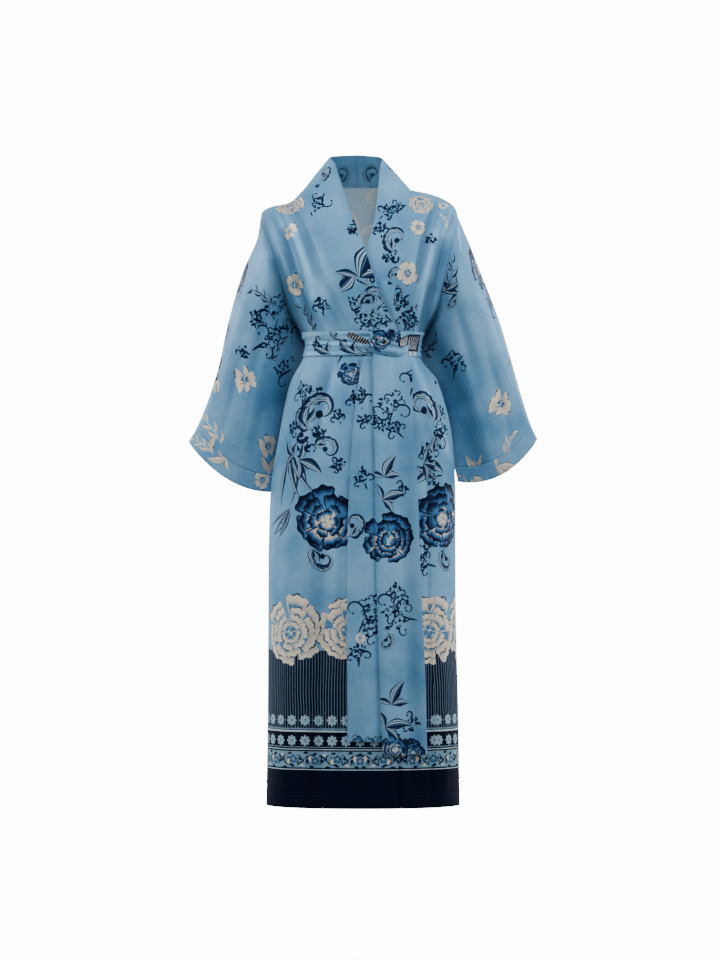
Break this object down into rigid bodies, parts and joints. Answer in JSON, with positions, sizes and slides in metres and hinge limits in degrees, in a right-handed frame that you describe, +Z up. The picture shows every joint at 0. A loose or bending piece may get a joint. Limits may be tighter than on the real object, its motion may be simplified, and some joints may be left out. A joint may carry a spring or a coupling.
{
  "type": "kimono robe",
  "caption": "Long printed wrap robe in worn form: wide hanging sleeves, a straight neck band, a knotted sash with hanging ends and an open hem.",
  "frame": {"origin": "between the shoulders at the height of the neck's base, where the wearer's shoulders hold the robe up", "axes": "+Z up, -Y to the front, +X to the wearer's left"},
  "size_m": [0.7478, 0.2849, 1.3998],
  "materials": {
    "print_cloth": "light blue printed voile, fine plain weave, soft sheen",
    "band_cloth": "the same printed cloth, folded double as a band",
    "cuff_cloth": "the same printed cloth turned up double, a little darker",
    "sash_cloth": "the same printed cloth, folded and pressed"
  },
  "bodies": {
    "root": {"back": "print_cloth", "front_right": "print_cloth", "front_left": "print_cloth", "neck_band_right": "band_cloth", "neck_band_left": "band_cloth", "sleeve_right": "print_cloth", "sleeve_left": "print_cloth", "cuff_right": "cuff_cloth", "cuff_left": "cuff_cloth", "sash_wrap": "sash_cloth", "sash_knot": "sash_cloth", "sash_tail_over": "sash_cloth", "sash_tail_under": "sash_cloth"}
  },
  "joints": []
}
